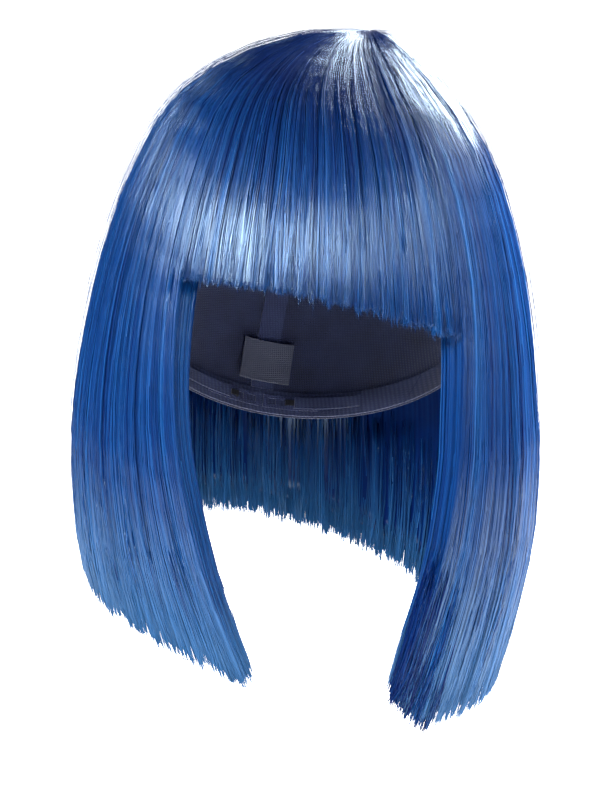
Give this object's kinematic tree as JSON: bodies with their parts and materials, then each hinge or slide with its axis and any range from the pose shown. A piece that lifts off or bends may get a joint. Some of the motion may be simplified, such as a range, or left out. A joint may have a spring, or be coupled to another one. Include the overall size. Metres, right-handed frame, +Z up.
{
  "type": "costume wig",
  "caption": "Long straight bob wig with a blunt fringe, wefted fibre on an elastic-edged stretch-net cap with lifting adjusters, folding ear tabs and free-swinging locks.",
  "frame": {"origin": "centre of the head the cap fits, 8 mm above the line of the eyes", "axes": "+Z up, with the hair hanging straight down; the face looks along -Y; +X is the wearer's left; the head and its cap lean 12 degrees towards +X"},
  "size_m": [0.232, 0.2229, 0.3323],
  "materials": {
    "hair_fibre": "glossy straight synthetic fibre, deep blue, paler at the cut ends",
    "net": "navy stretch net",
    "elastic": "ribbed navy elastic",
    "tape": "woven navy tape",
    "weft_stitching": "machine-stitched fibre heads",
    "hook_plastic": "satin black",
    "stay_plastic": "translucent grey strip",
    "label": "blank white satin ribbon"
  },
  "bodies": {
    "cap": {"cap_net": "net", "care_label": "label", "centre_tape": "tape", "cross_tape_left": "tape", "cross_tape_right": "tape", "crown_disc": "tape", "crown_weft": "weft_stitching", "fringe_weft_lower": "weft_stitching", "fringe_weft_upper": "weft_stitching", "front_band": "elastic", "hair_crown": "hair_fibre", "loop_tape_left": "tape", "loop_tape_right": "tape", "nape_band": "elastic", "side_band_left": "elastic", "side_band_right": "elastic", "weft_01": "weft_stitching", "weft_02": "weft_stitching", "weft_03": "weft_stitching", "weft_04": "weft_stitching", "weft_05": "weft_stitching", "weft_06": "weft_stitching", "weft_07": "weft_stitching", "weft_08": "weft_stitching", "weft_09": "weft_stitching"},
    "fringe": {"hair_fringe": "hair_fibre"},
    "side_left": {"hair_side_left": "hair_fibre"},
    "side_right": {"hair_side_right": "hair_fibre"},
    "back": {"hair_back": "hair_fibre"},
    "adjuster_left": {"adjuster_strap_left": "elastic", "adjuster_hook_left": "hook_plastic"},
    "adjuster_right": {"adjuster_strap_right": "elastic", "adjuster_hook_right": "hook_plastic"},
    "ear_tab_left": {"ear_tab_left": "tape", "ear_stay_left": "stay_plastic"},
    "ear_tab_right": {"ear_tab_right": "tape", "ear_stay_right": "stay_plastic"}
  },
  "joints": [
    {"name": "adjuster_left_lift", "type": "hinge", "parent": "cap", "child": "adjuster_left", "pos_m": [0.0363, 0.05772, -0.06009], "axis": [0.1796, 0.5041, 0.8448], "range_deg": [0, 45], "stiffness_Nm_per_rad": 0.002, "springref_deg": -17.19},
    {"name": "adjuster_right_lift", "type": "hinge", "parent": "cap", "child": "adjuster_right", "pos_m": [-0.0576, 0.05772, -0.04013], "axis": [-0.1796, -0.5041, -0.8448], "range_deg": [0, 45], "stiffness_Nm_per_rad": 0.002, "springref_deg": -17.19},
    {"name": "ear_tab_left_fold", "type": "hinge", "parent": "cap", "child": "ear_tab_left", "pos_m": [0.07814, -0.03705, -0.00178], "axis": [0.2871, 0.7138, -0.6388], "range_deg": [0, 25], "stiffness_Nm_per_rad": 0.002, "springref_deg": -17.19},
    {"name": "ear_tab_right_fold", "type": "hinge", "parent": "cap", "child": "ear_tab_right", "pos_m": [-0.07211, -0.03705, 0.03015], "axis": [0.5222, -0.7138, 0.4668], "range_deg": [0, 25], "stiffness_Nm_per_rad": 0.002, "springref_deg": -17.19},
    {"name": "fringe_lift", "type": "hinge", "parent": "cap", "child": "fringe", "pos_m": [0.01226, -0.093, 0.05768], "axis": [-0.9781, 0, 0.2079], "range_deg": [0, 45], "stiffness_Nm_per_rad": 0.02, "springref_deg": -17.19},
    {"name": "side_left_swing", "type": "hinge", "parent": "cap", "child": "side_left", "pos_m": [0.11249, -0.02, -0.02391], "axis": [0, -1, 0], "range_deg": [0, 25], "stiffness_Nm_per_rad": 0.12, "springref_deg": -20.05},
    {"name": "side_right_swing", "type": "hinge", "parent": "cap", "child": "side_right", "pos_m": [-0.10417, -0.02, 0.02214], "axis": [0, 1, 0], "range_deg": [0, 25], "stiffness_Nm_per_rad": 0.12, "springref_deg": -20.05},
    {"name": "back_swing", "type": "hinge", "parent": "cap", "child": "back", "pos_m": [0, 0.109, 0], "axis": [0.9781, 0, -0.2079], "range_deg": [0, 25], "stiffness_Nm_per_rad": 0.25, "springref_deg": -20.05}
  ]
}
